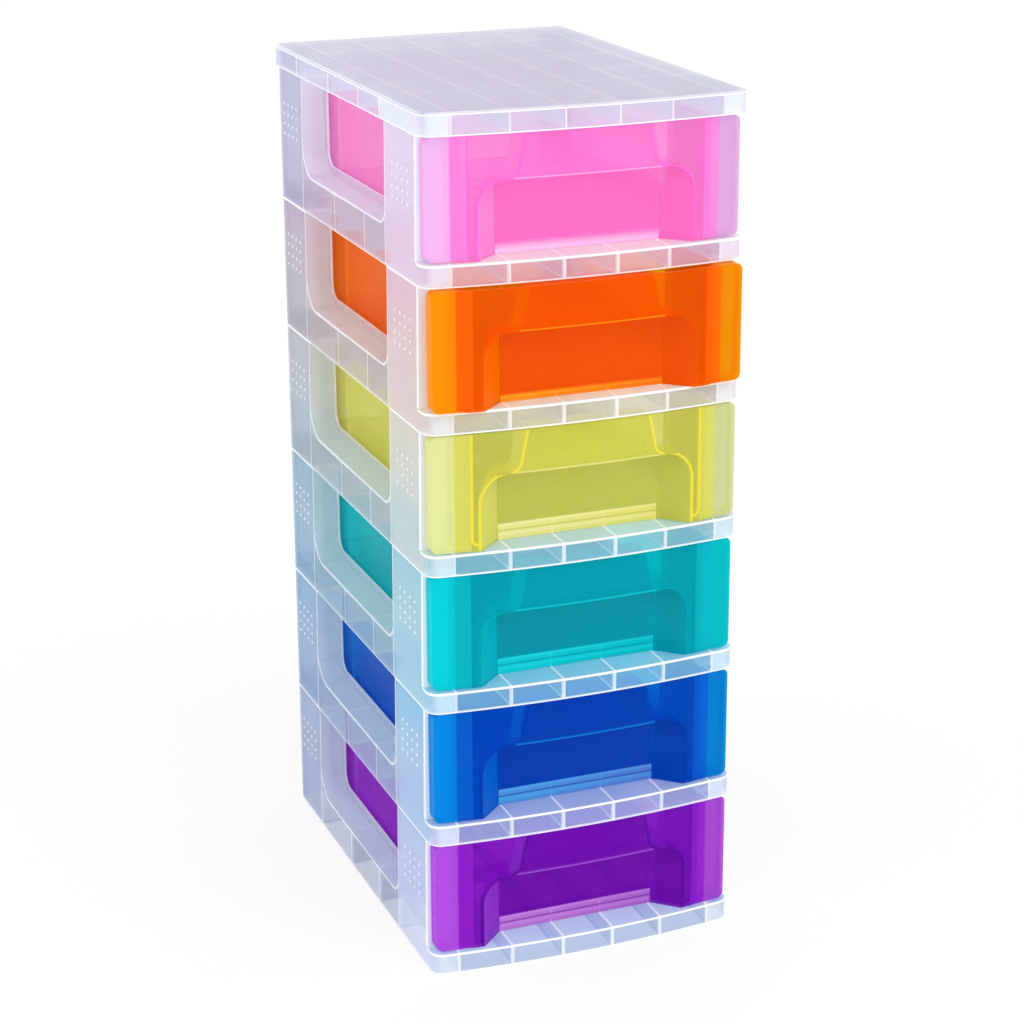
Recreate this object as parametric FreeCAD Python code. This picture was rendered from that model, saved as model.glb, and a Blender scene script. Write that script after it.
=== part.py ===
import FreeCAD
import Part
import math
import os

# Six-drawer tower of moulded polypropylene: six clear frames that stack on each other,
# a clear lid on the top frame, and one coloured drawer in each frame.
# Millimetres. X runs across the front, Y runs from front to back, Z is up.
# The origin is the middle of the base, on the floor.

# Whole tower
frame_count = 6
tower_width = 300.0
tower_depth = 432.0
frame_height = 130.0
front_bow = 10.0
corner_radius = 12.0
side_lean = 1.2
panel = 2.2
overrun = 5.0

# Shelf of a frame, with its skirt and the ribs below it
shelf_height = 20.0
rib = 1.8
long_rib_pitch = 50.0
long_ribs_each_side = 2
cross_rib_shares = (0.235, 0.595)

# Hollow side walls of a frame, with their windows
side_wall = 25.0
post_setback = 27.0
front_post_length = 83.0
rear_post_length = 80.0
sill_height = 37.0
window_front_radius = 15.0
window_rear_radius = 30.0
inner_window_margin = 8.0
inner_window_radius = 14.0

# Stacking lugs on top of the posts
lug_height = 16.0
lug_clearance = 0.6

# Lid
lid_height = 20.0
lid_overhang = 3.0
lid_edge = 1.2

# Drawer front
front_reveal = 4.0
front_wall = 2.5
front_side_gap = 4.0
front_lower_gap = 1.6
front_upper_gap = 1.8
front_corner_radius = 6.0
seat_clearance = 0.3

# Drawer tray
tray_wall = 2.0
tray_side_clearance = 2.7
tray_back_clearance = 8.0
tray_corner_radius = 14.0
rim_width = 1.2
rim_depth = 2.5

# Finger pocket in the drawer front, and the hollow behind its pull bar
pocket_depth = 27.0
mouth_half_width = 101.0
mouth_height = 67.5
mouth_shoulder = 26.0
pocket_back_half_width = 77.0
grip_lower_half_width = 65.0
grip_upper_half_width = 57.5
grip_flare = 9.0

# How far each drawer stands out of line in the resting tower, from the bottom drawer up
drawer_names = ("purple", "blue", "teal", "yellow", "orange", "pink")
orange_stands_out = 11.0
yellow_stands_out = 3.0

half_width = tower_width / 2
half_depth = tower_depth / 2
half_bay = half_width - side_wall
bow_radius = (half_width ** 2 + front_bow ** 2) / (2 * front_bow)
bow_centre_y = bow_radius - half_depth
post_front = -half_depth + post_setback
window_front = post_front + front_post_length
window_rear = half_depth - rear_post_length
far = tower_width + tower_depth


def vector(x, y, z):
    return FreeCAD.Vector(x, y, z)


def box(x0, x1, y0, y1, z0, z1):
    return Part.makeBox(x1 - x0, y1 - y0, z1 - z0, vector(x0, y0, z0))


def joined(shapes):
    first = shapes[0]
    return first.fuse(shapes[1:]).removeSplitter() if len(shapes) > 1 else first


# One corner of an outline, round or cut straight across
def corner_edge(start, middle, end, is_round):
    return Part.Arc(start, middle, end) if is_round else Part.LineSegment(start, end)


# How far a corner reaches along its sides. A straight cut just touches the round it stands for
def corner_reach(radius, is_round):
    return radius if is_round else radius * (2 - math.sqrt(2))


# Plan outline: straight back and sides, a bowed front and four corners
def bowed_wire(half, back, front_radius, front_corner, back_corner, z, is_round=True):
    corner_x = half - front_corner
    reach = front_radius - front_corner
    corner_y = bow_centre_y - math.sqrt(reach ** 2 - corner_x ** 2)
    lean_x = corner_x / reach
    lean_y = (corner_y - bow_centre_y) / reach
    touch_x = lean_x * front_radius
    touch_y = bow_centre_y + lean_y * front_radius
    middle = math.hypot(lean_x + 1, lean_y)
    bulge_x = corner_x + front_corner * (lean_x + 1) / middle
    bulge_y = corner_y + front_corner * lean_y / middle
    onward = 0 if is_round else front_corner * math.tan(math.acos(lean_x) / 4)
    side_y = corner_y - onward
    end_x = touch_x - lean_y * onward
    end_y = touch_y + lean_x * onward
    turn = back_corner * (1 - math.sqrt(0.5))
    leg = corner_reach(back_corner, is_round)
    edges = [
        Part.LineSegment(vector(half - leg, back, z), vector(leg - half, back, z)),
        corner_edge(
            vector(leg - half, back, z),
            vector(turn - half, back - turn, z),
            vector(-half, back - leg, z),
            is_round,
        ),
        Part.LineSegment(vector(-half, back - leg, z), vector(-half, side_y, z)),
        corner_edge(
            vector(-half, side_y, z),
            vector(-bulge_x, bulge_y, z),
            vector(-end_x, end_y, z),
            is_round,
        ),
        Part.Arc(
            vector(-end_x, end_y, z),
            vector(0, bow_centre_y - front_radius, z),
            vector(end_x, end_y, z),
        ),
        corner_edge(
            vector(end_x, end_y, z),
            vector(bulge_x, bulge_y, z),
            vector(half, side_y, z),
            is_round,
        ),
        Part.LineSegment(vector(half, side_y, z), vector(half, back - leg, z)),
        corner_edge(
            vector(half, back - leg, z),
            vector(half - turn, back - turn, z),
            vector(half - leg, back, z),
            is_round,
        ),
    ]
    return Part.Wire([edge.toShape() for edge in edges])


# Upright block that follows the tower's outline. Inside a wall its corners are cut straight
def outline_block(inset, z0, z1, is_round=True):
    half = half_width - inset
    corner = corner_radius - inset
    wire = bowed_wire(half, half_depth - inset, bow_radius - inset, corner, corner, z0, is_round)
    return Part.Face(wire).extrude(vector(0, 0, z1 - z0))


# The same block, with flat side faces that lean in above the skirt
def leaning_block(inset, z0, z1, is_round):
    half = half_width - inset
    slope = side_lean / (frame_height - shelf_height)
    upper = half - slope * (z1 - shelf_height)
    corners = [
        vector(-half, -far, z0),
        vector(-half, -far, shelf_height),
        vector(-upper, -far, z1),
        vector(upper, -far, z1),
        vector(half, -far, shelf_height),
        vector(half, -far, z0),
    ]
    between_sides = Part.Face(Part.makePolygon(corners + corners[:1])).extrude(vector(0, 2 * far, 0))
    return outline_block(inset, z0, z1, is_round).common(between_sides)


# Lines of the rib grid: each is the low and high side of one wall, in order
def cross_lines():
    length = window_rear - window_front
    between = [window_front + share * length for share in cross_rib_shares]
    lines = [(window_front - panel, window_front)]
    lines += [(y - rib / 2, y + rib / 2) for y in between]
    lines.append((window_rear, window_rear + panel))
    return lines


def long_lines():
    count = long_ribs_each_side
    middles = [(i + 0.5) * long_rib_pitch for i in range(-count, count)]
    lines = [(-half_bay - panel, -half_bay)]
    lines += [(x - rib / 2, x + rib / 2) for x in middles]
    lines.append((half_bay, half_bay + panel))
    return lines


def gaps_between(lines):
    starts = [-far] + [high for low, high in lines]
    ends = [low for low, high in lines] + [far]
    return list(zip(starts, ends))


# Hollows of the rib grid below a plate, open at the bottom
def grid_hollows(columns, rows, top):
    return [box(x0, x1, y0, y1, -overrun, top) for x0, x1 in columns for y0, y1 in rows]


# Window of a side wall: open at the top, with two round lower corners
def window_block(x0, x1, margin, front_radius, rear_radius, is_round=True):
    front = window_front + margin
    rear = window_rear - margin
    sill = sill_height + margin
    top = frame_height + overrun
    front_turn = front_radius * (1 - math.sqrt(0.5))
    rear_turn = rear_radius * (1 - math.sqrt(0.5))
    front_leg = corner_reach(front_radius, is_round)
    rear_leg = corner_reach(rear_radius, is_round)
    edges = [
        Part.LineSegment(vector(x0, rear, top), vector(x0, rear, sill + rear_leg)),
        corner_edge(
            vector(x0, rear, sill + rear_leg),
            vector(x0, rear - rear_turn, sill + rear_turn),
            vector(x0, rear - rear_leg, sill),
            is_round,
        ),
        Part.LineSegment(vector(x0, rear - rear_leg, sill), vector(x0, front + front_leg, sill)),
        corner_edge(
            vector(x0, front + front_leg, sill),
            vector(x0, front + front_turn, sill + front_turn),
            vector(x0, front, sill + front_leg),
            is_round,
        ),
        Part.LineSegment(vector(x0, front, sill + front_leg), vector(x0, front, top)),
        Part.LineSegment(vector(x0, front, top), vector(x0, rear, top)),
    ]
    face = Part.Face(Part.Wire([edge.toShape() for edge in edges]))
    return face.extrude(vector(x1 - x0, 0, 0))


# Where the posts begin and end along the depth, inside their walls
def post_spans():
    return [
        (post_front + panel, window_front - panel),
        (window_rear + panel, half_depth - panel),
    ]


# Lugs that stand on the posts of one side and reach into the posts of the frame above.
# With a larger inset these are the lugs' hollows
def lug_blocks(side, inset, z0, z1):
    x0 = half_bay + panel + inset
    inside_post = outline_block(panel + inset, z0, z1, False)
    blocks = []
    for start, end in post_spans():
        block = box(x0, half_width, start + inset, end - inset, z0, z1).common(inside_post)
        blocks.append(block if side > 0 else block.mirror(vector(0, 0, 0), vector(1, 0, 0)))
    return blocks


# Hollows inside one side wall, open at the bottom: tall ones in the posts, low ones below the sill
def wall_hollows(side, inside):
    low = half_bay + panel
    x0, x1 = (low, far) if side > 0 else (-far, -low)
    under_shelf = shelf_height - panel
    under_top = frame_height - panel
    in_skirt = box(x0, x1, -far, window_front - panel, -overrun, under_shelf)
    in_post = box(x0, x1, post_front + panel, window_front - panel, -overrun, under_top)
    rows_behind = gaps_between(cross_lines())[1:]
    cells = [joined([in_skirt, in_post])]
    cells += [box(x0, x1, y0, y1, -overrun, under_top) for y0, y1 in rows_behind]
    front_radius = window_front_radius + panel
    rear_radius = window_rear_radius + panel
    around_window = window_block(x0, x1, -panel, front_radius, rear_radius, False)
    return [cell.common(inside).cut(around_window) for cell in cells]


def make_frame():
    top = frame_height + overrun
    solid = leaning_block(0, 0, frame_height, True)
    inside = leaning_block(panel, -overrun, top, False)
    cuts = [
        box(-far, far, -far, post_front, shelf_height, top),
        box(-half_bay, half_bay, -far, 0, shelf_height, top),
        box(-half_bay, half_bay, -overrun, far, shelf_height, top).common(inside),
    ]
    columns = gaps_between(long_lines())[1:-1]
    rows = gaps_between(cross_lines()[1:-1])
    cuts += [cell.common(inside) for cell in grid_hollows(columns, rows, shelf_height - panel)]
    for side in (-1, 1):
        cuts += wall_hollows(side, inside)
        outer = half_bay + panel
        x0, x1 = (outer, far) if side > 0 else (-far, -outer)
        cuts.append(window_block(x0, x1, 0, window_front_radius, window_rear_radius))
        x0, x1 = sorted((side * (half_bay - overrun), side * (outer + overrun)))
        margin = inner_window_margin
        cuts.append(window_block(x0, x1, margin, inner_window_radius, inner_window_radius))
    frame = solid.cut(cuts)
    lug_top = frame_height + lug_height
    lugs = []
    hollows = []
    for side in (-1, 1):
        lugs += lug_blocks(side, lug_clearance, frame_height - panel, lug_top)
        hollows += lug_blocks(side, lug_clearance + panel, frame_height - panel - overrun, lug_top - panel)
    return frame.fuse(lugs).cut(hollows).removeSplitter()


def make_lid():
    solid = outline_block(-lid_overhang, 0, lid_height)
    upper_edges = [e for e in solid.Edges if e.BoundBox.ZMin > lid_height / 2]
    solid = solid.makeChamfer(lid_edge, upper_edges)
    inside = outline_block(panel - lid_overhang, -overrun, lid_height, False)
    columns = gaps_between(long_lines())
    cells = grid_hollows(columns, gaps_between(cross_lines()), lid_height - panel)
    return solid.cut([cell.common(inside) for cell in cells]).removeSplitter()


# Drawer sizes that follow from its frame
face_radius = bow_radius - front_reveal
face_inner_radius = face_radius - front_wall
face_half_width = half_width - front_side_gap
face_bottom = shelf_height + front_lower_gap
rim_height = frame_height - front_upper_gap
tray_half_width = half_bay - tray_side_clearance
tray_bottom = shelf_height + seat_clearance
tray_back = half_depth - panel - tray_back_clearance
pocket_back = -half_depth + front_reveal + pocket_depth
mouth_top = face_bottom + mouth_height


# Everything behind one bowed surface of the drawer's front
def behind_bow(radius):
    low = -overrun
    height = frame_height + 2 * overrun
    return Part.makeCylinder(radius, height, vector(0, bow_centre_y, low))


def upright_plate(margin, y1):
    low = face_bottom + margin
    half = face_half_width - margin
    return box(-half, half, -half_depth - overrun, y1, low, rim_height - margin)


def corner_edges(plate):
    return [e for e in plate.Edges if abs(e.tangentAt(e.FirstParameter).y) > 0.5]


# Front skin with wings that cover the posts and a turned edge that seats on them
def drawer_face():
    seat = post_front - seat_clearance
    plate = upright_plate(0, seat)
    plate = plate.makeFillet(front_corner_radius, corner_edges(plate))
    hollow = upright_plate(tray_wall, seat + overrun)
    hollow = hollow.makeChamfer(front_corner_radius / 2, corner_edges(hollow))
    return plate.common(behind_bow(face_radius)).cut(hollow.common(behind_bow(face_inner_radius)))


def tray_block(inset, front_radius, z0, z1, is_round=True):
    half = tray_half_width - inset
    corner = tray_corner_radius - inset
    wire = bowed_wire(half, tray_back - inset, front_radius, corner, corner, z0, is_round)
    return Part.Face(wire).extrude(vector(0, 0, z1 - z0))


# Outline of the pocket at one depth: straight foot, round shoulders and a flat top
def mouth_wire(half, shoulder, top, y, is_round):
    foot = tray_bottom - overrun
    turn = shoulder * (1 - math.sqrt(0.5))
    leg = corner_reach(shoulder, is_round)
    edges = [
        Part.LineSegment(vector(-half, y, foot), vector(-half, y, top - leg)),
        corner_edge(
            vector(-half, y, top - leg),
            vector(turn - half, y, top - turn),
            vector(leg - half, y, top),
            is_round,
        ),
        Part.LineSegment(vector(leg - half, y, top), vector(half - leg, y, top)),
        corner_edge(
            vector(half - leg, y, top),
            vector(half - turn, y, top - turn),
            vector(half, y, top - leg),
            is_round,
        ),
        Part.LineSegment(vector(half, y, top - leg), vector(half, y, foot)),
        Part.LineSegment(vector(half, y, foot), vector(-half, y, foot)),
    ]
    return Part.Wire([edge.toShape() for edge in edges])


# Outline of the hollow behind the pull bar: its sides lean in, and flare out into the pocket below
def grip_wire(half, flare, lean, top, foot, grip_top, y, is_round):
    slope = math.atan(lean)
    turn = math.pi / 4 + slope / 2
    bulge = flare / math.sin(turn) - flare
    leg = flare / math.tan(turn) if is_round else bulge / math.cos(turn)
    out_x = half + leg
    bulge_x = half + bulge * math.cos(turn)
    bulge_z = top + bulge * math.sin(turn)
    up_x = half - leg * math.sin(slope)
    up_z = top + leg * math.cos(slope)
    upper = half - lean * (grip_top - top)
    edges = [
        Part.LineSegment(vector(-out_x, y, foot), vector(-out_x, y, top)),
        corner_edge(
            vector(-out_x, y, top),
            vector(-bulge_x, y, bulge_z),
            vector(-up_x, y, up_z),
            is_round,
        ),
        Part.LineSegment(vector(-up_x, y, up_z), vector(-upper, y, grip_top)),
        Part.LineSegment(vector(-upper, y, grip_top), vector(upper, y, grip_top)),
        Part.LineSegment(vector(upper, y, grip_top), vector(up_x, y, up_z)),
        corner_edge(
            vector(up_x, y, up_z),
            vector(bulge_x, y, bulge_z),
            vector(out_x, y, top),
            is_round,
        ),
        Part.LineSegment(vector(out_x, y, top), vector(out_x, y, foot)),
        Part.LineSegment(vector(out_x, y, foot), vector(-out_x, y, foot)),
    ]
    return Part.Wire([edge.toShape() for edge in edges])


# Hollow of the finger pocket. Grown by a wall, it is the pocket's outside in the tray
def pocket_shape(grow, grip_top, grip_front_radius, is_round):
    front = -half_depth - overrun
    back = pocket_back + grow
    wide = mouth_half_width + grow
    narrow = pocket_back_half_width + grow
    mouth_y = bow_centre_y - math.sqrt(face_radius ** 2 - mouth_half_width ** 2)
    mouth = Part.Face(mouth_wire(wide, mouth_shoulder + grow, mouth_top + grow, front, is_round))
    plan = [
        vector(-wide, front, -overrun),
        vector(-wide, mouth_y, -overrun),
        vector(-narrow, back, -overrun),
        vector(narrow, back, -overrun),
        vector(wide, mouth_y, -overrun),
        vector(wide, front, -overrun),
    ]
    between_sides = Part.Face(Part.makePolygon(plan + plan[:1])).extrude(vector(0, 0, frame_height))
    recess = mouth.extrude(vector(0, back - front, 0)).common(between_sides)
    top = mouth_top + grow
    lean = (grip_lower_half_width - grip_upper_half_width) / (rim_height - tray_wall - mouth_top)
    half = grip_lower_half_width + grow - lean * grow
    flare = grip_flare - grow
    outline = grip_wire(half, flare, lean, top, mouth_top - overrun, grip_top, front, is_round)
    grip = Part.Face(outline).extrude(vector(0, back - front, 0))
    return joined([recess, grip.common(behind_bow(grip_front_radius))])


# Rims that stiffen the tray's upper edge along its two sides and its back
def rim_strips():
    reach = tray_half_width + rim_width
    side_rear = tray_back - tray_corner_radius
    back_half = tray_half_width - tray_corner_radius
    z0 = rim_height - rim_depth
    strips = [box(-back_half, back_half, tray_back - tray_wall / 2, tray_back + rim_width, z0, rim_height)]
    for x0, x1 in ((-reach, tray_wall / 2 - tray_half_width), (tray_half_width - tray_wall / 2, reach)):
        strips.append(box(x0, x1, post_front - tray_wall, side_rear, z0, rim_height))
    return strips


def make_drawer():
    body_front = face_radius - front_wall / 2
    body = tray_block(0, body_front, tray_bottom, rim_height)
    rims = rim_strips()
    floor = tray_bottom + tray_wall
    room = tray_block(tray_wall, face_inner_radius, floor, rim_height + overrun, False)
    room = room.cut(pocket_shape(tray_wall, rim_height + overrun, face_radius, False))
    pocket = pocket_shape(0, rim_height - tray_wall, face_inner_radius, True)
    whole = joined([drawer_face(), body] + rims)
    return whole.cut([room, pocket]).removeSplitter()


def write(name, shape, x=0, y=0, z=0):
    placed = shape.copy()
    placed.translate(vector(x, y, z))
    solids = placed.Solids
    print(name, len(solids), "solid", placed.isValid(), round(placed.Volume), "mm3")
    piece = solids[0] if len(solids) == 1 else Part.makeCompound(solids)
    piece.exportStep("parts/" + name + ".step")


def main():
    os.makedirs("parts", exist_ok=True)
    frame = make_frame()
    drawer = make_drawer()
    stands_out = {"orange": orange_stands_out, "yellow": yellow_stands_out}
    for level, name in enumerate(drawer_names[:frame_count]):
        base = level * frame_height
        write("frame_" + str(level + 1), frame, z=base)
        write("drawer_" + name, drawer, y=-stands_out.get(name, 0), z=base)
    write("lid", make_lid(), z=frame_count * frame_height)


main()
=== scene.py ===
# %% [markdown]
# # A tower of see-through drawers
# Six clear plastic frames stand on each other, with a clear lid on top and a coloured drawer in
# each. The solids are already exact, so this lesson is about their plastic: how light goes through
# thin moulded walls, and why those walls look white or deep in colour where they meet.

# %% Load the frame
import math

import bmesh
import bpy
from mathutils import Matrix, Vector

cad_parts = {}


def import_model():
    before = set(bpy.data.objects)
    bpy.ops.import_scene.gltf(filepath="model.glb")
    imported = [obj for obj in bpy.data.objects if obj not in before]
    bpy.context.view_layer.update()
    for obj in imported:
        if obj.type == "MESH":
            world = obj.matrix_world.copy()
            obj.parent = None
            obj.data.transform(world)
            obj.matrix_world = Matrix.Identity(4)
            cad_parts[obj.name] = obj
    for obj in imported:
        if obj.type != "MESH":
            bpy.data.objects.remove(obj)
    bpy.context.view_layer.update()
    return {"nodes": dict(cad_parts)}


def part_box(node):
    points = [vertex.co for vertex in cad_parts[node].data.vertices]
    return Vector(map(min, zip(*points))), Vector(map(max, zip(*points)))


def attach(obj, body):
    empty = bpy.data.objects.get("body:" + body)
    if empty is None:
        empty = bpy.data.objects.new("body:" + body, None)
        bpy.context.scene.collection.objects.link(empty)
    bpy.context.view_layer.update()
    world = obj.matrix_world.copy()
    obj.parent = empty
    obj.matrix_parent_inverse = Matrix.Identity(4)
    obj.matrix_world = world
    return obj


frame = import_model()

for name in sorted(frame["nodes"]):
    low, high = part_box(name)
    print(name, "x", round(low.x, 3), round(high.x, 3), "z", round(low.z, 3), round(high.z, 3))

# %% [markdown]
# ## The tower's own measures
# The finishes need to know where ribs and walls meet. These numbers are the mould's own, in
# millimetres, and the finishes read them in the same units. Measuring each place from a picture
# would drift; the mould's numbers put every line exactly on its rib.

# %% Measures of the mouldings
MM = 0.001
TOWER_HEIGHT = 800.0
LEVEL = 130.0
WALL = 2.2
RIB = 1.8
RIBS = (25.0, 75.0)
CROSS_RIBS = (-49.1, 38.0)
BAY = 125.0
SHELF = 20.0
SILL = 37.0
BOTTOM_EDGE = 1.2
EDGE_ROUND = 0.8
WINDOW_FRONT, WINDOW_REAR = -106.0, 136.0
FRONT_CORNER, REAR_CORNER = 15.0, 30.0
POST_FRONT = -189.0
SHELF_FRONT_DEPTH = 40.0
DRAWERS = ("purple", "blue", "teal", "yellow", "orange", "pink")
print("levels:", len(DRAWERS), "of", LEVEL, "mm")

# %% [markdown]
# ## Shader maths as sentences
# A finish is a small calculation on the surface. Wiring Math nodes by hand hides that calculation,
# so this class wraps a socket and lets ordinary Python operators add the nodes.

# %% A socket that can be calculated with
class Quantity:
    def __init__(self, finish, socket):
        self.finish = finish
        self.socket = socket

    def math(self, operation, first, second=None, clamp=False):
        sockets = {0: first} if second is None else {0: first, 1: second}
        settings = {"operation": operation, "use_clamp": clamp}
        return self.finish.node("ShaderNodeMath", settings, sockets)

    def __add__(self, other):
        return self.math("ADD", self, other)

    __radd__ = __add__

    def __sub__(self, other):
        return self.math("SUBTRACT", self, other)

    def __rsub__(self, other):
        return self.math("SUBTRACT", other, self)

    def __mul__(self, other):
        return self.math("MULTIPLY", self, other)

    __rmul__ = __mul__

    def __truediv__(self, other):
        return self.math("DIVIDE", self, other)

    def __mod__(self, other):
        return self.math("FLOORED_MODULO", self, other)

    def __pow__(self, other):
        return self.math("POWER", self, other)

    def __abs__(self):
        return self.math("ABSOLUTE", self)

    def larger(self, other):
        return self.math("MAXIMUM", self, other)

    def smaller(self, other):
        return self.math("MINIMUM", self, other)

    def clamped(self):
        return self.math("ADD", self, 0.0, clamp=True)


# %% [markdown]
# ## One finish, one node tree
# Every material here starts the same way, so a class holds the tree and one method adds any node:
# settings first, because some of them decide which sockets a node has, then values or links.

# %% A finish and its single node method
class Finish:
    def __init__(self, name):
        self.material = bpy.data.materials.new(name)
        self.material.use_nodes = True
        self.tree = self.material.node_tree
        self.tree.nodes.clear()

    def node(self, kind, settings=None, sockets=None, output=0):
        made = self.tree.nodes.new(kind)
        for key, value in (settings or {}).items():
            if key == "stops":
                while len(made.color_ramp.elements) < len(value):
                    made.color_ramp.elements.new(1.0)
                for stop, (place, colour) in zip(made.color_ramp.elements, value):
                    stop.position = place
                    stop.color = colour
            else:
                setattr(made, key, value)
        for key, value in (sockets or {}).items():
            if isinstance(value, Quantity):
                self.tree.links.new(value.socket, made.inputs[key])
            else:
                made.inputs[key].default_value = value
        return Quantity(self, made.outputs[output])

    def parts(self, vector):
        made = self.node("ShaderNodeSeparateXYZ", sockets={0: vector}).socket.node
        return [Quantity(self, made.outputs[i]) for i in range(3)]

    def place(self):
        at = self.node("ShaderNodeTexCoord", output="Object")
        return self.node("ShaderNodeVectorMath", {"operation": "SCALE"}, {0: at, "Scale": 1 / MM})

    def facing_axes(self):
        normal = self.node("ShaderNodeNewGeometry", output="Normal")
        return [abs(part) for part in self.parts(normal)]

    def facing_away(self):
        return self.node("ShaderNodeLayerWeight", sockets={"Blend": 0.5}, output="Facing")

    def noise(self, at, scale, detail):
        sockets = {"Vector": at, "Scale": scale, "Detail": detail}
        return self.node("ShaderNodeTexNoise", sockets=sockets)

    def mixed(self, mask, first, second, way="MIX"):
        settings = {"data_type": "RGBA", "blend_type": way}
        return self.node("ShaderNodeMix", settings, {0: mask, 6: first, 7: second}, output=2)

    def mixed_shader(self, mask, first, second):
        return self.node("ShaderNodeMixShader", sockets={0: mask, 1: first, 2: second})

    def finished(self, shader):
        out = self.tree.nodes.new("ShaderNodeOutputMaterial")
        self.tree.links.new(shader.socket, out.inputs["Surface"])
        return self.material


# %% [markdown]
# ## Where walls meet
# In a thin clear moulding the eye sees the joints more than the walls: behind each joint the light
# runs along a rib instead of across it, so the line looks white, or deep in a coloured drawer.
# A mask for such a line needs only the distance to it, with a soft edge so that it stays smooth.

# %% Soft bands and steps
def band(value, middle, half, soft=0.4):
    return ((half + soft - abs(value - middle)) / soft).clamped()


def beyond(value, edge, soft=0.4):
    return ((value - edge) / soft).clamped()


def before(value, edge, soft=0.4):
    return ((edge - value) / soft).clamped()


def either(*masks):
    whole = masks[0]
    for mask in masks[1:]:
        whole = whole.larger(mask)
    return whole


def corner_distance(beside, below, radius):
    """Distance outside a round corner, from how far a point is beyond each of its two sides."""
    side = beside + radius
    foot = below + radius
    outside = (side.larger(0.0) ** 2 + foot.larger(0.0) ** 2) ** 0.5
    return outside + side.larger(foot).smaller(0.0) - radius


# %% [markdown]
# ## A point on a moulding
# All frames come from one mould and all drawers from another, so a finish doesn't need six sets of
# numbers. It takes the height within a level, and the distance from the middle for both sides. The
# axes along which a surface faces tell the end of a rib from its side.

# %% Where a point lies and how it faces
class Spot:
    def __init__(self, finish):
        self.x, self.y, self.z = finish.parts(finish.place())
        self.across = abs(self.x)
        self.nx, self.ny, self.nz = finish.facing_axes()

    def level(self):
        return self.z % LEVEL


class Places:
    """Masks by name: where a moulding has a line, an edge or a colour of its own."""


def solid(colour):
    return colour + (1.0,)


def blended(colour, share, other):
    return tuple(share * part + (1 - share) * rest for part, rest in zip(colour, other))


# %% [markdown]
# ## A thin see-through wall
# The plastic is polypropylene: light goes straight through it, but it is also a little milky. Real
# refraction through dozens of walls would be slow and noisy, and in walls this thin it hardly bends
# the view. So each surface lets part of the light straight through and covers the rest with a soft
# body. Light scattered inside the walls makes that body glow a little, which a weak emission stands
# for. Rays from the lamps take a plain tinted way through, so that they cost little.

# %% The shader of every moulded wall
def see_through(finish, cover, colour, glow, gloss, shine, tint, shade):
    wave = finish.noise(finish.place(), 0.03, 0.0)
    uneven = {"Strength": 0.25, "Distance": 0.0004, "Height": wave}
    sockets = {
        "Base Color": colour,
        "Roughness": gloss + wave * 0.12,
        "Normal": finish.node("ShaderNodeBump", sockets=uneven),
        "IOR": 1.49,
        "Specular IOR Level": shine,
        "Emission Color": colour,
        "Emission Strength": glow,
    }
    body = finish.node("ShaderNodeBsdfPrincipled", sockets=sockets, output="BSDF")
    through = finish.node("ShaderNodeBsdfTransparent", sockets={"Color": tint})
    seen = finish.mixed_shader(cover.clamped(), through, body)
    lamp_ray = finish.node("ShaderNodeLightPath", output="Is Shadow Ray")
    shadow = finish.node("ShaderNodeBsdfTransparent", sockets={"Color": shade})
    return finish.finished(finish.mixed_shader(lamp_ray, seen, shadow))


# %% [markdown]
# ## Clear plastic
# The frames and the lid cover little of the view where the wall faces it, more where the view
# grazes the wall, and most of all where walls meet. Hollow posts and thick corners look milkier
# than a single wall, so each finish may name zones with a cover and a colour of their own; some
# zones carry painted light and painted shade.

# %% The clear body
JOINT_WHITE = (0.97, 0.98, 1.0)
CLEAR_TINT = (0.945, 0.957, 0.985)
CLEAR_SHADE = (0.88, 0.90, 0.93)


def clear_body(finish, joints, faint, base, milk, zones, gloss):
    cloud = finish.noise(finish.place(), 0.012, 0.0)
    cover = base + (cloud - 0.5) * 0.06 + finish.facing_away() ** 4 * 0.5
    for mask, most, colour in zones:
        cover = cover.larger(mask * most)
        milk = finish.mixed(mask, milk, colour)
    cover = cover.larger(faint * 0.6).larger(joints * 0.85)
    colour = finish.mixed(joints.larger(faint * 0.8), milk, solid(JOINT_WHITE))
    tint, shade = solid(CLEAR_TINT), solid(CLEAR_SHADE)
    return see_through(finish, cover, colour, 0.05, gloss, 0.35, tint, shade)


# %% [markdown]
# ## Painted drawer light
# Each milky wall also catches a breath of coloured light from the drawer beside it. Tracing light
# through the walls would find that light slowly, so it is painted into the walls' colour. A ramp
# over the whole height holds it instead: one ramp for the walls, and one for the tops of the shelf
# fronts, which lie right under a drawer.

# %% Painted light that the drawers throw on the milky walls
WALL_DRAWER_LIGHT = (
    (0, (0.36, 0.46, 0.66)),
    (20, (0.38, 0.50, 0.72)),
    (50, (0.67, 0.75, 0.96)),
    (115, (0.62, 0.73, 0.96)),
    (140, (0.48, 0.60, 0.92)),
    (200, (0.51, 0.72, 0.93)),
    (265, (0.26, 0.66, 0.90)),
    (330, (0.50, 0.76, 0.86)),
    (400, (0.36, 0.70, 0.80)),
    (455, (0.76, 0.80, 0.76)),
    (530, (0.82, 0.76, 0.68)),
    (590, (0.88, 0.70, 0.70)),
    (660, (0.90, 0.58, 0.78)),
    (720, (0.90, 0.78, 0.95)),
)
SHELF_FRONT_DRAWER_LIGHT = (
    (20, (0.39, 0.56, 0.87)),
    (150, (0.46, 0.64, 0.90)),
    (280, (0.37, 0.82, 0.98)),
    (410, (0.69, 0.90, 1.00)),
    (540, (1.00, 1.00, 0.97)),
    (670, (1.00, 0.94, 1.00)),
)


def by_height(finish, z, table):
    stops = [(height / TOWER_HEIGHT, solid(colour)) for height, colour in table]
    return finish.node("ShaderNodeValToRGB", {"stops": stops}, {0: z / TOWER_HEIGHT})


print("heights with a colour of their own:", len(WALL_DRAWER_LIGHT) + len(SHELF_FRONT_DRAWER_LIGHT))

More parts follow.
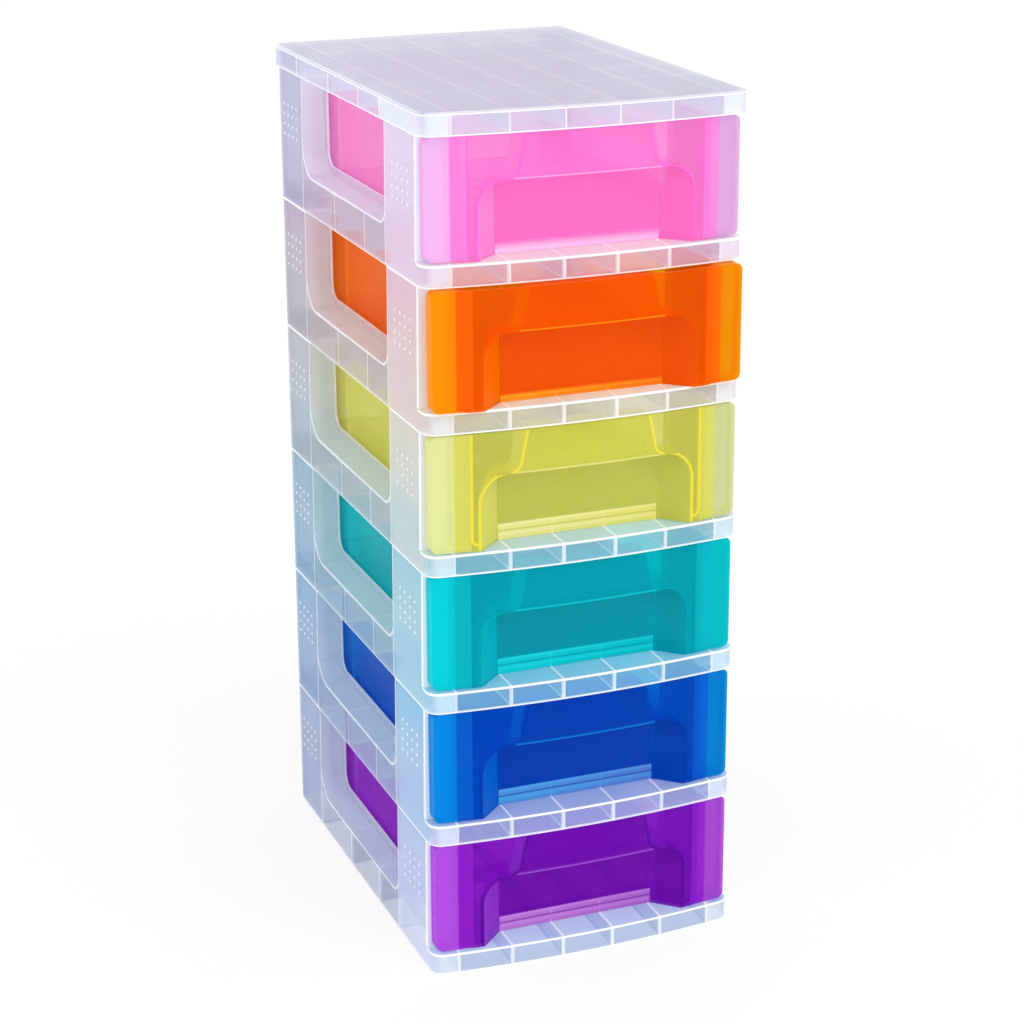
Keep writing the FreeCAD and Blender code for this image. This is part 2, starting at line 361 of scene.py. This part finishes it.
# %% [markdown]
# ## The frames
# A frame is a shelf on a grid of ribs, with hollow side walls and a U-shaped window in each side.
# A texture could show its lines, but a line that is calculated from the rib's own place stays sharp
# from near and far. The joints are worked out first, along each axis: a joint shows on the surfaces
# that run across it and not on those that run along it.

# %% The edges of the side windows
FAR = 1000.0


def window_edges(y, level):
    """Distance outside the window's front half and rear half, which have corners of their own."""
    middle = (WINDOW_FRONT + WINDOW_REAR) / 2
    front = corner_distance(WINDOW_FRONT - y, SILL - level, FRONT_CORNER)
    rear = corner_distance(y - WINDOW_REAR, SILL - level, REAR_CORNER)
    return front + beyond(y, middle) * FAR, rear + before(y, middle) * FAR


# %% Where the frame's walls meet
def frame_joints(at, level, edges):
    across, y = at.across, at.y
    rib_half = RIB * (0.5 + at.ny * 0.35)
    ribs = either(*[band(across, place, rib_half) for place in RIBS])
    inner_wall = band(across, BAY + WALL / 2, WALL / 2)
    along_x = either(ribs * before(level, SHELF + EDGE_ROUND), inner_wall)
    along_x = along_x * (1 - at.nx) * (1 - at.ny * 0.22)
    cross = either(*[band(y, place, RIB / 2) for place in CROSS_RIBS])
    cross = cross * before(level, SILL + EDGE_ROUND)
    front_jamb = band(y, WINDOW_FRONT - WALL / 2, WALL / 2)
    rear_jamb = band(y, WINDOW_REAR + WALL / 2, WALL / 2)
    along_y = either(cross, either(front_jamb, rear_jamb) * beyond(across, BAY)) * (1 - at.ny)
    # The joint at the post's front corner, widened into a painted highlight along the rounded
    # corner.
    post_front_joint_and_highlight = band(y, POST_FRONT + WALL, WALL) * beyond(level, SHELF) * (1 - at.ny)
    in_bay = either(before(across, BAY + WALL), before(y, POST_FRONT + WALL))
    shelf = band(level, SHELF - WALL / 2, WALL / 2) * in_bay
    rims = either(band(level, LEVEL - WALL / 2, WALL / 2), before(level, BOTTOM_EDGE))
    along_z = either(shelf, rims) * (1 - at.nz)
    front_edge, rear_edge = edges
    outline = either(band(front_edge, WALL / 2, WALL / 2), band(rear_edge, WALL / 2, WALL * 0.7))
    outline = outline * beyond(across, BAY + WALL + 1.0) * at.nx * 0.8
    panel_edge = inner_wall * beyond(level, SILL + 6.0) * (1 - at.nx)
    joints = either(along_x, along_z, outline, panel_edge, post_front_joint_and_highlight)
    return joints, either(along_y, cross)


# %% [markdown]
# Then the zones: the hollow posts, the walls of the windows, the shelf's front and the skirt below
# it. Each is a mask, the most that it covers, and its colour; most of these colours carry the
# drawers' painted light. A frame's foot lies in front of the drawer below, but its posts stand
# beside their own drawer, so the posts take their painted drawer light from higher up than the
# skirts do.

# %% The frame's milky zones
PALE = (0.84, 0.89, 0.95)
# Painted shade: the rear posts and the panels under the sill are darkened by these greys.
REAR_POST_SHADE = (0.52, 0.58, 0.68)
UNDER_SILL_SHADE = (0.66, 0.66, 0.69)
WINDOW_WHITE = (0.84, 0.92, 0.93)
WALL_BLUE = (0.66, 0.71, 0.83)
DRAWER_LIGHT_FROM = 50.0


def frame_zones(finish, at, level, edges, drawer_light):
    across, y = at.across, at.y
    above_skirt = beyond(level, SHELF)
    outer_side = beyond(across, BAY + WALL + 1.0) * at.nx
    front_post = before(y, WINDOW_FRONT - WALL) * outer_side
    rear_post = beyond(y, WINDOW_REAR + WALL) * outer_side
    in_window = before(y, WINDOW_REAR) * beyond(y, WINDOW_FRONT)
    under_sill = before(level, SILL - WALL) * in_window * outer_side
    inner_side = band(across, BAY + WALL / 2, WALL) * at.nx * above_skirt
    window_walls = either(*[band(edge, WALL / 2, WALL) for edge in edges])
    window_walls = window_walls * beyond(across, BAY) * (1 - at.nx)
    shelf_front = band(level, SHELF, EDGE_ROUND) * at.nz * before(y, POST_FRONT + SHELF_FRONT_DEPTH)
    post_face = band(y, POST_FRONT + WALL / 2, WALL) * at.ny * beyond(across, BAY) * above_skirt
    skirt = before(level, SHELF) * at.ny * before(y, POST_FRONT - 5.0)
    skirt_drawer_light = by_height(finish, at.z, WALL_DRAWER_LIGHT)

    # Painted shade: multiplies the drawers' painted light by a grey.
    def darkened(colour):
        return finish.mixed(1.0, drawer_light, solid(colour), "MULTIPLY")

    return [
        (front_post, 0.50, drawer_light),
        (rear_post, 0.58, darkened(REAR_POST_SHADE)),
        (under_sill, 0.44, darkened(UNDER_SILL_SHADE)),
        (inner_side, 0.42, finish.mixed(0.5, drawer_light, solid(PALE))),
        (window_walls, 0.60, finish.mixed(0.5, drawer_light, solid(WINDOW_WHITE))),
        (shelf_front, 0.64, by_height(finish, at.z, SHELF_FRONT_DRAWER_LIGHT)),
        # Painted light: the left post faces take extra pale cover, as if lit from the left.
        (post_face, 0.35 + before(at.x, 0.0) * 0.5, solid(PALE)),
        (skirt, 0.28, skirt_drawer_light),
        (before(at.z, SHELF) * skirt, 0.50, skirt_drawer_light),
        (skirt * beyond(across, BAY), 0.62, finish.mixed(0.4, solid(PALE), skirt_drawer_light)),
    ]


# %% Finish of the stacking frames
def frame_finish():
    finish = Finish("clear_frame_plastic")
    at = Spot(finish)
    level = at.level()
    edges = window_edges(at.y, level)
    # The drawers' painted light, taken from higher up for the posts; the walls' milk holds half of
    # it.
    drawer_light = by_height(finish, at.z + (DRAWER_LIGHT_FROM - level).larger(0.0), WALL_DRAWER_LIGHT)
    joints, faint = frame_joints(at, level, edges)
    zones = frame_zones(finish, at, level, edges, drawer_light)
    milk = finish.mixed(0.5, solid(WALL_BLUE), drawer_light)
    return clear_body(finish, joints, faint, 0.15, milk, zones, 0.30)


clear_frame = frame_finish()
print("frame finish:", len(clear_frame.node_tree.nodes), "nodes")

# %% [markdown]
# ## The lid
# The lid is a flat moulding of the same clear plastic over the same grid of ribs, so it could share
# the frames' finish. But it is seen from above, where the ribs show only as faint paler lines and
# the rounded edge of the top as a bright line: the joint of top and skirt, widened into a painted
# highlight. So it gets a finish of its own from the same helpers.

# %% Finish of the lid
LID_BASE = 780.0
LID_FRONT = 219.0
LID_BOW = 2266.0
LID_SIDE = 148.5
LID_REAR = 214.5
LID_EDGE_COLOUR = (0.72, 0.72, 0.86)
LID_CORNER_COLOUR = (0.84, 0.89, 0.98)
LID_MILK = (0.58, 0.57, 0.66)


def lid_finish():
    finish = Finish("clear_lid_plastic")
    at = Spot(finish)
    across, y = at.across, at.y
    level = at.z - LID_BASE
    ribs = [band(across, place, RIB / 2) for place in RIBS]
    ribs.append(band(across, BAY + WALL / 2, WALL / 2))
    cross = [band(y, place, RIB / 2) for place in CROSS_RIBS]
    cross.append(band(y, WINDOW_FRONT - WALL / 2, WALL / 2))
    cross.append(band(y, WINDOW_REAR + WALL / 2, WALL / 2))
    along_x = either(*ribs) * (1 - at.nx) * (1 - at.ny * 0.25)
    along_y = either(*cross) * (1 - at.ny)
    rims = either(band(level, SHELF - WALL / 2, WALL / 2), before(level, BOTTOM_EDGE))
    from_front = y + LID_FRONT - across ** 2 / LID_BOW
    # Painted highlight: the joint of the top and its skirt, widened into a bright line along the
    # rounded edge.
    border_joint_and_highlight = either(beyond(across, LID_SIDE, 2.0), beyond(y, LID_REAR, 2.0))
    border_joint_and_highlight = either(border_joint_and_highlight, before(from_front, 4.5, 2.0)) * at.nz * 0.85
    joints = either(either(along_x, along_y, rims) * (1 - at.nz), border_joint_and_highlight)
    faint = either(along_x, along_y) * at.nz * 0.5
    edge = before(level, SHELF - BOTTOM_EDGE) * (1 - at.nz)
    post_side = before(y, WINDOW_FRONT - WALL) * at.nx
    corner = edge * either(post_side, beyond(across, BAY + WALL) * at.ny)
    zones = [(edge, 0.34, solid(LID_EDGE_COLOUR)), (corner, 0.62, solid(LID_CORNER_COLOUR))]
    return clear_body(finish, joints, faint, 0.22, solid(LID_MILK), zones, 0.26)


clear_lid = lid_finish()
print("lid finish:", len(clear_lid.node_tree.nodes), "nodes")

# %% [markdown]
# ## Coloured drawers
# A coloured wall filters what is behind it, and two walls filter it twice. The drawer's front also
# has a thicker middle, where the tray's own front wall stands behind the face, and thin wings at
# its sides. So the cover grows in steps from the wings to the middle, and the tint does the rest.
# Each plastic has a tint for the light that goes through and a few colours for its places: the
# body, the deep pocket, the thin wing, the band where the tray turns behind the face, the foot of
# the pocket, whose pale strip is painted light, and the mould lines. How strongly the lines and the
# bar above the pocket show depends on the plastic too: dark ones show them deep, light ones show
# them bright.

# %% Colours of the drawers
PLASTICS = {
    "purple": {
        "tint": (0.92, 0.50, 1.0),
        "body": (0.24, 0.008, 0.52),
        "deep": (0.11, 0.0, 0.29),
        "wing": (0.43, 0.09, 0.66),
        "band": (0.26, 0.012, 0.51),
        "foot": (0.37, 0.11, 0.48),
        "line": (0.08, 0.0, 0.26),
    },
    "blue": {
        "tint": (0.03, 0.80, 1.0),
        "body": (0.0, 0.085, 0.54),
        "deep": (0.0, 0.035, 0.32),
        "wing": (0.0, 0.25, 0.67),
        "band": (0.0, 0.11, 0.52),
        "foot": (0.08, 0.17, 0.52),
        "line": (0.0, 0.012, 0.27),
    },
    "teal": {
        "tint": (0.03, 0.99, 1.0),
        "body": (0.0, 0.40, 0.48),
        "deep": (0.0, 0.23, 0.30),
        "wing": (0.0, 0.56, 0.62),
        "band": (0.0, 0.43, 0.48),
        "foot": (0.0, 0.42, 0.46),
        "line": (0.0, 0.44, 0.48),
    },
    "yellow": {
        "tint": (1.0, 1.0, 0.84),
        "body": (0.62, 0.61, 0.095),
        "deep": (0.44, 0.45, 0.085),
        "wing": (0.68, 0.71, 0.33),
        "band": (0.62, 0.60, 0.12),
        "foot": (0.66, 0.60, 0.13),
        "line": (0.72, 0.62, 0.045),
    },
    "orange": {
        "tint": (1.0, 0.78, 0.02),
        "body": (0.84, 0.125, 0.0),
        "deep": (0.72, 0.07, 0.0),
        "wing": (0.93, 0.29, 0.0),
        "band": (0.93, 0.13, 0.0),
        "foot": (0.84, 0.15, 0.008),
        "line": (0.95, 0.135, 0.001),
    },
    "pink": {
        "tint": (1.0, 0.93, 1.0),
        "body": (0.88, 0.215, 0.61),
        "deep": (0.86, 0.13, 0.47),
        "wing": (0.80, 0.45, 0.77),
        "band": (0.90, 0.22, 0.64),
        "foot": (0.92, 0.44, 0.74),
        "line": (0.96, 0.115, 0.62),
    },
}
MOULD_LINES = {"purple": 1.0, "blue": 0.6, "teal": 0.45, "yellow": 0.9, "orange": 0.35, "pink": 0.7}
BOX_LINES = {"purple": 0.45, "yellow": 0.9, "pink": 0.55}
BARS = {"purple": 0.75, "blue": 0.8, "teal": 0.6}
for name, plastic in PLASTICS.items():
    print(name, plastic["body"])

# %% Measures of a drawer
STANDS_OUT = {"orange": 11.0, "yellow": 3.0}
FACE_BACK = -196.0
FACE_HALF = 146.0
FACE_SIDE = 139.0
FACE_FOOT = 21.6
FACE_TOP = 128.2
FACE_CORNER = 6.0
TRAY_HALF = 122.3
TRAY_CORNER = 110.5
TRAY_RADIUS = 7.0
TRAY_REAR = 108.0
SIDE_LINE = 104.0
MOUTH_HALF = 101.0
MOUTH_TOP = 89.1
SHOULDER = 26.0
GRIP_HALF = 65.0
GRIP_LEAN = 0.202
GRIP_FLARE = 9.0
GRIP_REACH = 12.0
LINE_HALF = 1.1
LINE_SOFT = 0.9
POCKET_BACK = -186.0
POCKET_HALF = 77.5
POCKET_FOOT = 36.0
UPPER_STRIP_LINE = 34.0
DARK_STRIP_LINE = 28.8
LOWER_STRIP_LINE = 25.5
PLAIN_STRIP = (POCKET_FOOT, 0.8)
BLURRED_STRIPS = {"orange": (28.0, 3.0), "pink": (31.0, 8.0)}
print("drawer face:", 2 * FACE_HALF, "by", round(FACE_TOP - FACE_FOOT, 1), "mm")

# %% [markdown]
# The masks of a drawer come in three groups. First the face: its wings, the turned band and the
# thick middle. Then the pocket and the hollow behind the bar, with their slanted walls. Last the
# thin lines where the mould's surfaces meet. They could be painted on an unwrapped mesh, but
# distances give the same line on all six drawers at once, however far a drawer stands out. A pale
# strip of painted light lies at the foot of each pocket, with painted reflections of bright lines
# and of the ribs in it; in two of the plastics it is lower and blurred.

# %% Places on the face
def face_places(here, at, level):
    across, y = at.across, at.y
    face = before(y, FACE_BACK + 4.0) * at.ny
    here.face = face
    here.middle = before(across, TRAY_CORNER, 1.5) * face
    here.corner = before(across, TRAY_HALF, 1.0) * face
    here.wing = beyond(across, TRAY_HALF + 2.0, 1.5) * face
    here.turn = (face - here.middle - here.wing).larger(0.0)
    thin_side = either(beyond(across, FACE_SIDE) * at.nx, beyond(across, TRAY_HALF) * at.nz)
    here.wing_edge = thin_side * before(y, POST_FRONT + 1.0)
    # The right half: the drawer is the same on both sides, so what differs by this mask is painted
    # light and shade, lighter on the left as if lit from the left.
    here.right = beyond(at.x, 0.0)
    face_edge = corner_distance(across - FACE_HALF, FACE_FOOT - level, FACE_CORNER)
    outline = either(band(face_edge, -0.6, 0.5, 0.6), beyond(level, FACE_TOP - 1.2)) * face
    floor = band(level, FACE_FOOT - 0.3, 1.2) * (1 - at.nz) * before(across, TRAY_CORNER)
    rim = beyond(level, FACE_TOP - 2.5) * (1 - at.nz) * (1 - face)
    here.edges = either(outline * 0.6, floor * 0.8, rim * 0.6)


# %% Places in the pocket, at the grip and on the tray
def pocket_places(here, at, level, name):
    across, y = at.across, at.y
    in_pocket = before(y, POCKET_BACK)
    by_grip = before(across, GRIP_HALF + GRIP_REACH)
    here.slanted = beyond(at.nx * at.ny, 0.3, 0.1) * in_pocket * before(across, MOUTH_HALF + 4.0)
    here.grip_wall = at.nx * in_pocket * beyond(level, MOUTH_TOP - 1.0) * by_grip
    here.pocket = band(y, POCKET_BACK, 2.0) * at.ny * before(across, POCKET_HALF)
    here.pocket = here.pocket * before(level, MOUTH_TOP - 2.0)
    # The foot's pale strip is painted light.
    strip_top, strip_blur = BLURRED_STRIPS.get(name, PLAIN_STRIP)
    here.foot = before(level, strip_top, strip_blur) * here.pocket
    here.groove = band(level, DARK_STRIP_LINE, 0.5, 0.7) * here.foot
    before_back = before(y, POCKET_BACK + 4.0)
    here.tray_turn = beyond(across, TRAY_CORNER - 0.5) * before_back * (1 - here.face)
    tray_side = beyond(across, TRAY_HALF - 3.0) * before(across, BAY)
    here.tray_side = tray_side * at.nx * beyond(y, POST_FRONT + 5.0)
    here.tray_rear = here.tray_side * beyond(y, TRAY_REAR, 6.0)
    here.side_line = here.tray_side * band(y, SIDE_LINE, 2.0, 2.0)


# %% Places of the mould lines
def line_places(here, at, level, name):
    across = at.across
    grip_half = GRIP_HALF - (level - MOUTH_TOP) * GRIP_LEAN
    mouth_side = corner_distance(across - MOUTH_HALF, level - MOUTH_TOP, SHOULDER)
    grip_side = corner_distance(grip_half - across, MOUTH_TOP - level, GRIP_FLARE)
    box_side = corner_distance(across - TRAY_CORNER, FACE_FOOT + 4.0 - level, TRAY_RADIUS)
    mouth = band(mouth_side, LINE_HALF, LINE_HALF, LINE_SOFT) * before(level, MOUTH_TOP)
    mouth = mouth * beyond(across, GRIP_HALF + GRIP_FLARE)
    grip = band(grip_side, -LINE_HALF, LINE_HALF, LINE_SOFT) * beyond(level, MOUTH_TOP)
    grip = grip * before(across, GRIP_HALF + GRIP_FLARE)
    box_edge = band(box_side, -1.0, 1.0, LINE_SOFT) * beyond(mouth_side, 0.0, 1.0)
    lines = either(either(mouth, grip) * MOULD_LINES[name], box_edge * BOX_LINES.get(name, 0.0))
    here.lines = lines * here.face
    above = beyond(level, MOUTH_TOP + 1.0) * here.face
    here.bar = above * before(across, grip_half) * BARS.get(name, 0.0)
    # Painted light: the lighter grip band lies on the left only.
    grip_band = band(grip_side, -7.5, 5.0, 1.0) * above * (1 - here.right)
    here.grip_band = grip_band * before(across, GRIP_HALF + GRIP_REACH)
    here.bar_edge = band(level, MOUTH_TOP + 0.5, 0.4) * before(across, GRIP_HALF + 4.0) * here.face


# %% [markdown]
# With the places known, the cover and the colour are two short recipes. The cover takes the largest
# of what the places ask for, so that zones that touch don't add up to a dark seam. The colour is
# mixed in order, from the body to the finest lines.

# %% How much of the view a drawer covers
PLAIN_COVER = 0.36
COVERS = {
    "pocket": 0.66,
    "slanted": 0.6,
    "wing_edge": 0.6,
    "grip_wall": 0.6,
    "tray_turn": 0.6,
    "grip_band": 0.30,
    "bar": 0.6,
    "foot": 0.88,
    "edges": 0.7,
    "bar_edge": 0.55,
    "lines": 0.8,
}


def drawer_cover(finish, here):
    cover = PLAIN_COVER - here.face * 0.24 + here.corner * 0.02 + here.middle * 0.16
    cover = cover + finish.facing_away() ** 4 * 0.3
    cover = cover.larger(here.wing * 0.5 + here.turn * 0.55)
    for place, most in COVERS.items():
        cover = cover.larger(getattr(here, place) * most)
    return cover


print("places with a cover of their own:", len(COVERS))

# %% The colours over a drawer
BLACK = (0.0, 0.0, 0.0)
TRAY_SIDE_SHADE = (0.90, 0.90, 0.80)
TRAY_REAR_SHADE = (0.80, 0.72, 0.80)


# Painted reflection in the pale strip: brighter towards the left, with bright lines and the ribs
# mirrored in it.
def strip_gleam(at, level):
    bright_strip_lines = either(band(level, UPPER_STRIP_LINE, 0.8, 0.8), band(level, LOWER_STRIP_LINE, 1.4, 0.8))
    rib_reflections = band(at.across, RIBS[0], 0.8)
    return before(at.x, POCKET_HALF, 2 * POCKET_HALF) * 0.35 + either(bright_strip_lines, rib_reflections) * 0.25


def drawer_colour(finish, here, strip_reflection, plastic):
    body, deep, clear = plastic["body"], plastic["deep"], plastic["tint"]
    # Painted shade on the right slanted wall, the right half of the turned band and the right wing;
    # painted light on the left slanted wall.
    left = 1 - here.right
    deeper = either(here.edges, here.middle * 0.2, here.pocket * 0.85)
    deeper = either(deeper, here.slanted * here.right * 0.7, here.bar)
    colour = finish.mixed(deeper, solid(body), solid(deep))
    colour = finish.mixed(here.tray_side, colour, solid(TRAY_SIDE_SHADE), "MULTIPLY")
    colour = finish.mixed(here.tray_rear, colour, solid(TRAY_REAR_SHADE), "MULTIPLY")
    lighter = either(here.slanted * left * 0.15, here.grip_wall * 0.3, here.bar_edge * 0.7)
    lighter = either(lighter, here.grip_band * 0.12, here.side_line * 0.3)
    colour = finish.mixed(lighter, colour, solid(blended(body, 0.6, clear)))
    turned = either(here.turn * (1 - here.right * 0.5), here.tray_turn * 0.5)
    colour = finish.mixed(turned, colour, solid(plastic["band"]))
    # Painted shade: the right wing takes a duller colour.
    right_wing_shade = blended(plastic["wing"], 0.80, BLACK)
    wing_colour = finish.mixed(here.right, solid(plastic["wing"]), solid(right_wing_shade))
    colour = finish.mixed(either(here.wing, here.wing_edge), colour, wing_colour)
    colour = finish.mixed(here.lines, colour, solid(plastic["line"]))
    # Painted light: the pale strip at the pocket's foot, its painted reflection and a dark line in
    # it.
    colour = finish.mixed(here.foot, colour, solid(plastic["foot"]))
    foot_reflection_colour = blended(plastic["foot"], 0.5, clear)
    colour = finish.mixed(here.foot * strip_reflection, colour, solid(foot_reflection_colour))
    return finish.mixed(here.groove * 0.6, colour, solid(deep))


# %% Finish of each drawer
def drawer_finish(name, plastic):
    finish = Finish(name + "_drawer_plastic")
    at = Spot(finish)
    at.y = at.y + STANDS_OUT.get(name, 0.0)
    level = at.level()
    here = Places()
    face_places(here, at, level)
    pocket_places(here, at, level, name)
    line_places(here, at, level, name)
    cover = drawer_cover(finish, here)
    colour = drawer_colour(finish, here, strip_gleam(at, level), plastic)
    shade = tuple(0.62 * part + 0.08 for part in plastic["tint"])
    tint = solid(plastic["tint"])
    return see_through(finish, cover, colour, 0.22, 0.20, 0.08, tint, solid(shade))


drawer_plastics = {name: drawer_finish(name, plastic) for name, plastic in PLASTICS.items()}
print("drawer finishes:", len(drawer_plastics))

# %% [markdown]
# ## Dress the solids
# Each node is one moulding of one plastic. The solids already have the right shape and rounding, so
# nothing is modelled over them: they keep their meshes and only take the new finishes.

# %% Give every node its plastic
def dress(node, material):
    node.data.materials.clear()
    node.data.materials.append(material)


for name, node in frame["nodes"].items():
    if name.startswith("drawer_"):
        dress(node, drawer_plastics[name[len("drawer_"):]])
    else:
        dress(node, clear_lid if name == "lid" else clear_frame)
print("dressed", len(frame["nodes"]), "nodes")

# %% [markdown]
# ## Grip dots
# Each post carries sixteen small raised dots on its outer side. A bump could fake them, but they
# stand out against the light at the post's edge. A dot is a shallow dome, so rings of points in
# bmesh give it a soft top and a flat seat, and one mesh per frame holds them all.

# %% Finish of the dots
def dot_finish():
    finish = Finish("raised_dot_plastic")
    grain = finish.noise(finish.place(), 0.9, 2.0)
    colour = finish.mixed(grain, solid((0.80, 0.82, 0.92)), solid((0.90, 0.91, 0.97)))
    sockets = {"Base Color": colour, "Roughness": 0.35 + grain * 0.1, "Specular IOR Level": 0.4}
    return finish.finished(finish.node("ShaderNodeBsdfPrincipled", sockets=sockets, output="BSDF"))


dot_plastic = dot_finish()
print("dot finish:", len(dot_plastic.node_tree.nodes), "nodes")

# %% Measures of the dots
DOT_RADIUS = 1.7
DOT_RISE = 0.55
DOT_RINGS = (1.0, 0.8, 0.45)
DOT_SIDES = 10
DOTS_EACH_WAY = 4
DOT_COLUMNS = ((-167.0, 13.2), (155.4, 13.0))
DOT_ROWS = (65.5, 9.8)
SIDE = 150.0
SIDE_LEAN = 1.2 / 110.0
SUNK = 0.02
print("dots on a frame:", 2 * len(DOT_COLUMNS) * DOTS_EACH_WAY ** 2)


# %% Raise the dots
def add_dome(mesh, centre, side):
    rings = []
    for share in DOT_RINGS:
        rise = DOT_RISE * math.sqrt(1.0 - share ** 2)
        reach = DOT_RADIUS * share
        ring = []
        for step in range(DOT_SIDES):
            turn = 2 * math.pi * step / DOT_SIDES
            offset = (side * rise, reach * math.cos(turn), reach * math.sin(turn))
            ring.append(mesh.verts.new((Vector(centre) + Vector(offset)) * MM))
        rings.append(ring)
    top = mesh.verts.new((Vector(centre) + Vector((side * DOT_RISE, 0, 0))) * MM)
    for lower, upper in zip(rings, rings[1:]):
        for i in range(DOT_SIDES):
            j = (i + 1) % DOT_SIDES
            mesh.faces.new((lower[i], lower[j], upper[j], upper[i]))
    for i in range(DOT_SIDES):
        mesh.faces.new((rings[-1][i], rings[-1][(i + 1) % DOT_SIDES], top))


def dot_centres(number, side):
    for start, pitch in DOT_COLUMNS:
        for column in range(DOTS_EACH_WAY):
            for row in range(DOTS_EACH_WAY):
                height = DOT_ROWS[0] + row * DOT_ROWS[1]
                x = side * (SIDE - SIDE_LEAN * (height - SHELF) - SUNK)
                yield x, start + column * pitch, height + (number - 1) * LEVEL


def raise_dots(number):
    mesh = bmesh.new()
    for side in (-1, 1):
        for centre in dot_centres(number, side):
            add_dome(mesh, centre, side)
    bmesh.ops.recalc_face_normals(mesh, faces=mesh.faces)
    name = "grip_dots_" + str(number)
    data = bpy.data.meshes.new(name)
    mesh.to_mesh(data)
    mesh.free()
    for face in data.polygons:
        face.use_smooth = True
    dots = bpy.data.objects.new(name, data)
    bpy.context.scene.collection.objects.link(dots)
    dots.data.materials.append(dot_plastic)
    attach(dots, "tower")
    return dots


all_dots = [raise_dots(number) for number in range(1, len(DRAWERS) + 1)]
print("dot meshes:", len(all_dots), "faces each:", len(all_dots[0].data.polygons))

# %% [markdown]
# ## Floor and light
# The photograph is a plain packshot: white all round, soft light and hardly a shadow. A room with
# lamps would take long to balance. A pale sky lights everything evenly and three wide suns add
# direction, so a colour renders about as written. To the camera, the floor glows white too.

# %% The floor
FLOOR_SIZE = 30.0
FLOOR_DROP = 0.0006


def floor_finish():
    finish = Finish("studio_white")
    at = finish.node("ShaderNodeTexCoord", output="Object")
    cloud = finish.node("ShaderNodeTexNoise", sockets={"Vector": at, "Scale": 2.0})
    colour = finish.mixed(cloud, solid((0.94, 0.94, 0.94)), solid((0.97, 0.97, 0.97)))
    sockets = {"Base Color": colour, "Roughness": 0.9, "Specular IOR Level": 0.1}
    matte = finish.node("ShaderNodeBsdfPrincipled", sockets=sockets, output="BSDF")
    glow = {"Color": solid((1.0, 1.0, 1.0)), "Strength": 1.0}
    white = finish.node("ShaderNodeEmission", sockets=glow)
    seen = finish.node("ShaderNodeLightPath", output="Is Camera Ray")
    return finish.finished(finish.mixed_shader(seen * 0.8, matte, white))


def make_floor():
    mesh = bmesh.new()
    bmesh.ops.create_grid(mesh, x_segments=8, y_segments=8, size=FLOOR_SIZE)
    data = bpy.data.meshes.new("studio_floor")
    mesh.to_mesh(data)
    mesh.free()
    floor = bpy.data.objects.new("studio_floor", data)
    floor.location.z = -FLOOR_DROP
    bpy.context.scene.collection.objects.link(floor)
    floor.data.materials.append(floor_finish())
    return floor


studio_floor = make_floor()
print("floor:", studio_floor.name, "faces:", len(studio_floor.data.polygons))

# %% The sky and the suns
def make_sky(level):
    world = bpy.data.worlds.new("studio_sky")
    bpy.context.scene.world = world
    world.use_nodes = True
    tree = world.node_tree
    tree.nodes.clear()
    path = tree.nodes.new("ShaderNodeLightPath")
    seen = tree.nodes.new("ShaderNodeMath")
    seen.operation = "MAXIMUM"
    tree.links.new(path.outputs["Is Camera Ray"], seen.inputs[0])
    tree.links.new(path.outputs["Is Glossy Ray"], seen.inputs[1])
    strength = tree.nodes.new("ShaderNodeMix")
    strength.inputs[2].default_value = level
    strength.inputs[3].default_value = 1.0
    tree.links.new(seen.outputs[0], strength.inputs[0])
    sky = tree.nodes.new("ShaderNodeBackground")
    sky.inputs["Color"].default_value = (1.0, 1.0, 1.0, 1.0)
    tree.links.new(strength.outputs[0], sky.inputs["Strength"])
    out = tree.nodes.new("ShaderNodeOutputWorld")
    tree.links.new(sky.outputs[0], out.inputs["Surface"])


def make_sun(name, direction, strength, spread):
    data = bpy.data.lights.new(name, "SUN")
    data.energy = strength
    data.angle = math.radians(spread)
    sun = bpy.data.objects.new(name, data)
    sun.rotation_euler = Vector(direction).to_track_quat("-Z", "Y").to_euler()
    bpy.context.scene.collection.objects.link(sun)


make_sky(0.68)
make_sun("key_sun", (-0.30, 0.85, -0.75), 1.1, 50.0)
make_sun("top_sun", (-0.15, 0.2, -1.0), 0.45, 80.0)
make_sun("side_sun", (0.90, 0.15, -0.35), 0.8, 80.0)

# %% [markdown]
# ## The camera
# The camera stands in front of the tower's left corner, a little above it, as the photographer's
# did. It could be placed by eye, but a fit is surer: the place, the angles and the lens were solved
# from the tower's corners and edges in the photograph.

# %% Set up the camera
SENSOR_WIDTH = 36.0
PICTURE_WIDTH = 1024


def make_camera(place, yaw, pitch, roll, focal_pixels, shift):
    data = bpy.data.cameras.new("photo_camera")
    data.sensor_width = SENSOR_WIDTH
    data.lens = focal_pixels / PICTURE_WIDTH * SENSOR_WIDTH
    data.shift_y = shift
    data.clip_end = 100.0
    camera = bpy.data.objects.new("photo_camera", data)
    turn = Matrix.Rotation(-yaw, 4, "Z") @ Matrix.Rotation(math.pi / 2 + pitch, 4, "X")
    turn = turn @ Matrix.Rotation(roll, 4, "Z")
    camera.matrix_world = Matrix.Translation(Vector(place) * MM) @ turn
    bpy.context.scene.collection.objects.link(camera)
    bpy.context.scene.camera = camera
    return camera


camera = make_camera((-838.7, -2162.3, 1165.8), 0.3742, -0.3115, -0.0049, 2526.6, -0.05)
print("lens", round(camera.data.lens, 1), "mm")

# %% [markdown]
# ## Last settings
# A view through the tower crosses many walls. Each wall is one see-through step, and a ray that
# runs out of steps turns black, so these steps get a high limit. Light that bounces between walls
# adds little here, so its limit stays low and saves time.

# %% Colour and ray settings, sizes, and the end
scene = bpy.context.scene
scene.view_settings.view_transform = "Standard"
scene.cycles.transparent_max_bounces = 48
scene.cycles.max_bounces = 4
scene.cycles.diffuse_bounces = 2
scene.cycles.glossy_bounces = 2
